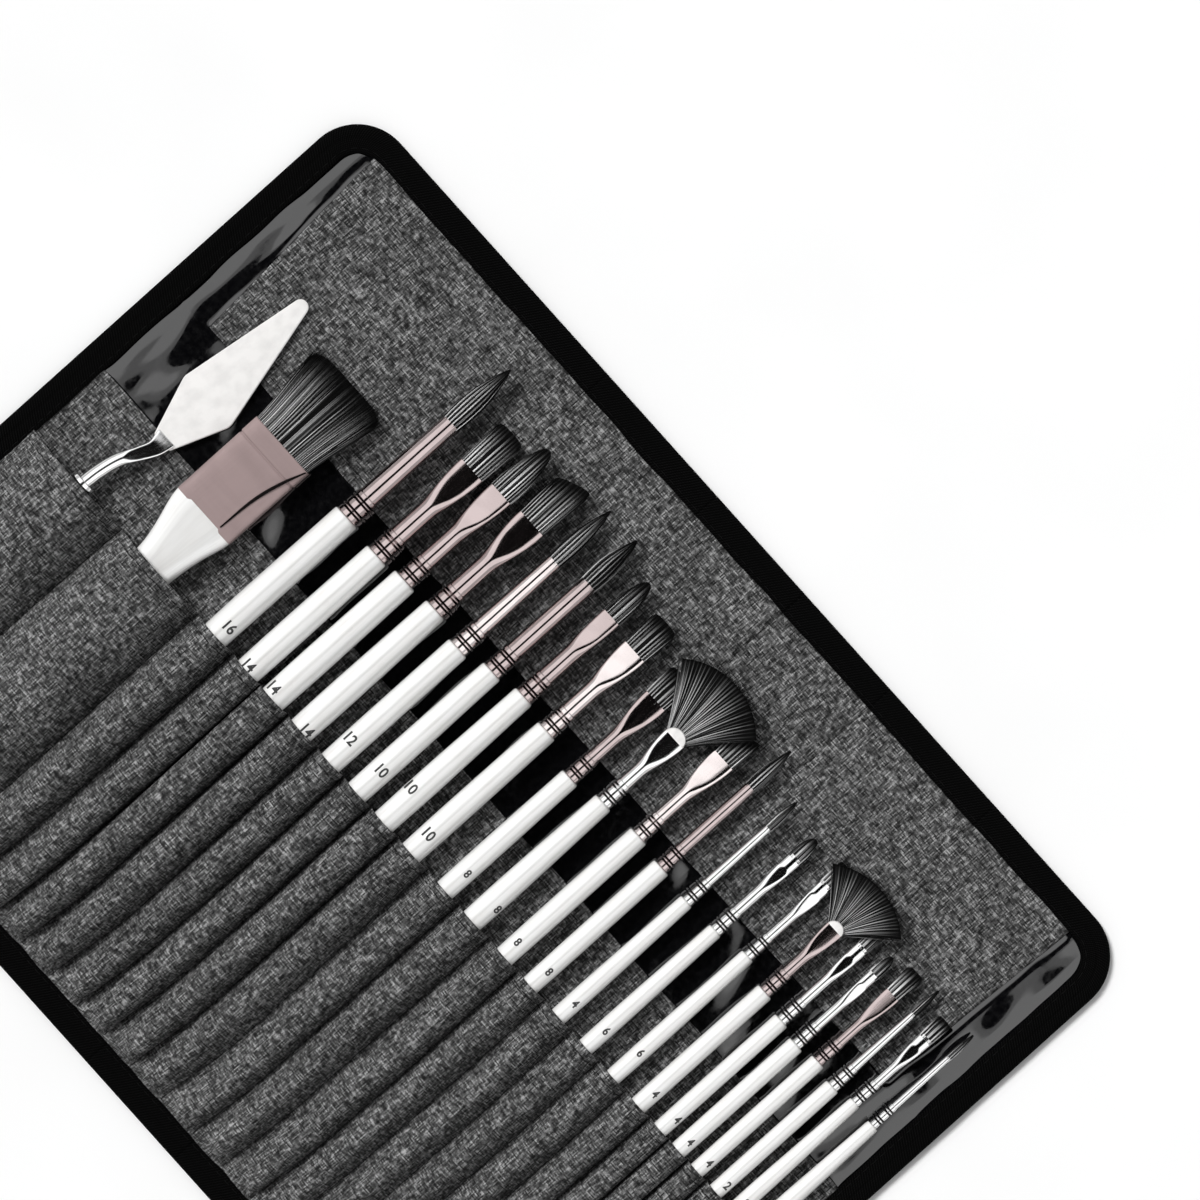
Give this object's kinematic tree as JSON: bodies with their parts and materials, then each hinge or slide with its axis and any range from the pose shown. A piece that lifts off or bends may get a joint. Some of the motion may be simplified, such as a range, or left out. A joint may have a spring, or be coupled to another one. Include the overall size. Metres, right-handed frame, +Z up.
{
  "type": "brush roll case",
  "caption": "Cloth roll-up case laid open, with bound edges, a tip flap and stitched pockets holding slide-out art brushes and a palette knife.",
  "frame": {"origin": "middle of the opened case's underside", "axes": "+X along the opened case's width, +Y towards the brush tips and the flap's seam, +Z up out of the pockets"},
  "size_m": [0.4, 0.293, 0.0163],
  "materials": {
    "shell_cloth": "dark heather cloth with a glossy black film lining",
    "binding_tape": "ribbed black tape",
    "linen": "charcoal heather linen weave",
    "handle_paint": "glossy white paint",
    "ferrule_rose": "satin rose",
    "ferrule_silver": "satin silver",
    "steel": "polished",
    "bristle": "dark synthetic hair"
  },
  "bodies": {
    "panel_1": {"outer_shell_1": "shell_cloth", "edge_binding_1": "binding_tape", "tip_flap_1": "linen", "pocket_1": "linen"},
    "panel_2": {"outer_shell_2": "shell_cloth", "edge_binding_2": "binding_tape", "tip_flap_2": "linen", "pocket_2": "linen"},
    "panel_3": {"outer_shell_3": "shell_cloth", "edge_binding_3": "binding_tape", "tip_flap_3": "linen", "pocket_3": "linen"},
    "panel_4": {"outer_shell_4": "shell_cloth", "edge_binding_4": "binding_tape", "tip_flap_4": "linen", "pocket_4": "linen"},
    "panel_5": {"outer_shell_5": "shell_cloth", "edge_binding_5": "binding_tape", "tip_flap_5": "linen", "pocket_5": "linen"},
    "panel_6": {"outer_shell_6": "shell_cloth", "edge_binding_6": "binding_tape", "tip_flap_6": "linen", "pocket_6": "linen"},
    "panel_7": {"outer_shell_7": "shell_cloth", "edge_binding_7": "binding_tape", "tip_flap_7": "linen", "pocket_7": "linen"},
    "palette_knife": {"knife_blade": "steel", "knife_ring": "ferrule_silver", "knife_handle": "handle_paint"},
    "wash_brush": {"wash_brush_handle": "handle_paint", "wash_brush_ferrule": "ferrule_rose", "wash_brush_hair": "bristle"},
    "round_16_brush": {"round_16": "handle_paint"},
    "flat_14_brush": {"flat_14": "handle_paint"},
    "filbert_14_brush": {"filbert_14": "handle_paint"},
    "angle_14_brush": {"angle_14": "handle_paint"},
    "round_12_brush": {"round_12": "handle_paint"},
    "round_10_brush": {"round_10": "handle_paint"},
    "filbert_10_brush": {"filbert_10": "handle_paint"},
    "flat_10_brush": {"flat_10": "handle_paint"},
    "flat_8_brush": {"flat_8": "handle_paint"},
    "fan_8_brush": {"fan_8": "handle_paint", "fan_8_hair": "bristle"},
    "angle_8_brush": {"angle_8": "handle_paint"},
    "round_8_brush": {"round_8": "handle_paint"},
    "round_4_brush": {"round_4": "handle_paint"},
    "filbert_6_brush": {"filbert_6": "handle_paint"},
    "flat_6_brush": {"flat_6": "handle_paint"},
    "fan_4_brush": {"fan_4": "handle_paint", "fan_4_hair": "bristle"},
    "flat_4_brush": {"flat_4": "handle_paint"},
    "filbert_4_brush": {"filbert_4": "handle_paint"},
    "flat_4_short_brush": {"flat_4_short": "handle_paint"},
    "round_2_brush": {"round_2": "handle_paint"},
    "flat_2_brush": {"flat_2": "handle_paint"},
    "liner_1_brush": {"liner_1": "handle_paint"}
  },
  "joints": [
    {"name": "fold_1", "type": "hinge", "parent": "panel_1", "child": "panel_2", "pos_m": [-0.1057, 0, 0.007], "axis": [0, -1, 0], "range_deg": [0, 50]},
    {"name": "fold_2", "type": "hinge", "parent": "panel_2", "child": "panel_3", "pos_m": [-0.0436, 0, 0.007], "axis": [0, -1, 0], "range_deg": [0, 50]},
    {"name": "fold_3", "type": "hinge", "parent": "panel_3", "child": "panel_4", "pos_m": [0.0129, 0, 0.007], "axis": [0, -1, 0], "range_deg": [0, 50]},
    {"name": "fold_4", "type": "hinge", "parent": "panel_4", "child": "panel_5", "pos_m": [0.0599, 0, 0.007], "axis": [0, -1, 0], "range_deg": [0, 50]},
    {"name": "fold_5", "type": "hinge", "parent": "panel_5", "child": "panel_6", "pos_m": [0.1021, 0, 0.007], "axis": [0, -1, 0], "range_deg": [0, 50]},
    {"name": "fold_6", "type": "hinge", "parent": "panel_6", "child": "panel_7", "pos_m": [0.1571, 0, 0.007], "axis": [0, -1, 0], "range_deg": [0, 50]},
    {"name": "slide_palette_knife", "type": "slide", "parent": "panel_1", "child": "palette_knife", "axis": [0, 1, 0], "range_m": [0, 0.116]},
    {"name": "slide_wash_brush", "type": "slide", "parent": "panel_1", "child": "wash_brush", "axis": [0, 1, 0], "range_m": [0, 0.116]},
    {"name": "slide_round_16", "type": "slide", "parent": "panel_2", "child": "round_16_brush", "axis": [0, 1, 0], "range_m": [0, 0.116]},
    {"name": "slide_flat_14", "type": "slide", "parent": "panel_2", "child": "flat_14_brush", "axis": [0, 1, 0], "range_m": [0, 0.116]},
    {"name": "slide_filbert_14", "type": "slide", "parent": "panel_2", "child": "filbert_14_brush", "axis": [0, 1, 0], "range_m": [0, 0.116]},
    {"name": "slide_angle_14", "type": "slide", "parent": "panel_2", "child": "angle_14_brush", "axis": [0, 1, 0], "range_m": [0, 0.116]},
    {"name": "slide_round_12", "type": "slide", "parent": "panel_3", "child": "round_12_brush", "axis": [0, 1, 0], "range_m": [0, 0.116]},
    {"name": "slide_round_10", "type": "slide", "parent": "panel_3", "child": "round_10_brush", "axis": [0, 1, 0], "range_m": [0, 0.116]},
    {"name": "slide_filbert_10", "type": "slide", "parent": "panel_3", "child": "filbert_10_brush", "axis": [0, 1, 0], "range_m": [0, 0.116]},
    {"name": "slide_flat_10", "type": "slide", "parent": "panel_3", "child": "flat_10_brush", "axis": [0, 1, 0], "range_m": [0, 0.116]},
    {"name": "slide_flat_8", "type": "slide", "parent": "panel_4", "child": "flat_8_brush", "axis": [0, 1, 0], "range_m": [0, 0.116]},
    {"name": "slide_fan_8", "type": "slide", "parent": "panel_4", "child": "fan_8_brush", "axis": [0, 1, 0], "range_m": [0, 0.116], "deforming": ["fan_8_hair"]},
    {"name": "slide_angle_8", "type": "slide", "parent": "panel_4", "child": "angle_8_brush", "axis": [0, 1, 0], "range_m": [0, 0.116]},
    {"name": "slide_round_8", "type": "slide", "parent": "panel_5", "child": "round_8_brush", "axis": [0, 1, 0], "range_m": [0, 0.116]},
    {"name": "slide_round_4", "type": "slide", "parent": "panel_5", "child": "round_4_brush", "axis": [0, 1, 0], "range_m": [0, 0.116]},
    {"name": "slide_filbert_6", "type": "slide", "parent": "panel_5", "child": "filbert_6_brush", "axis": [0, 1, 0], "range_m": [0, 0.116]},
    {"name": "slide_flat_6", "type": "slide", "parent": "panel_6", "child": "flat_6_brush", "axis": [0, 1, 0], "range_m": [0, 0.116]},
    {"name": "slide_fan_4", "type": "slide", "parent": "panel_6", "child": "fan_4_brush", "axis": [0, 1, 0], "range_m": [0, 0.116], "deforming": ["fan_4_hair"]},
    {"name": "slide_flat_4", "type": "slide", "parent": "panel_6", "child": "flat_4_brush", "axis": [0, 1, 0], "range_m": [0, 0.116]},
    {"name": "slide_filbert_4", "type": "slide", "parent": "panel_6", "child": "filbert_4_brush", "axis": [0, 1, 0], "range_m": [0, 0.116]},
    {"name": "slide_flat_4_short", "type": "slide", "parent": "panel_6", "child": "flat_4_short_brush", "axis": [0, 1, 0], "range_m": [0, 0.116]},
    {"name": "slide_round_2", "type": "slide", "parent": "panel_7", "child": "round_2_brush", "axis": [0, 1, 0], "range_m": [0, 0.116]},
    {"name": "slide_flat_2", "type": "slide", "parent": "panel_7", "child": "flat_2_brush", "axis": [0, 1, 0], "range_m": [0, 0.116]},
    {"name": "slide_liner_1", "type": "slide", "parent": "panel_7", "child": "liner_1_brush", "axis": [0, 1, 0], "range_m": [0, 0.116]}
  ]
}
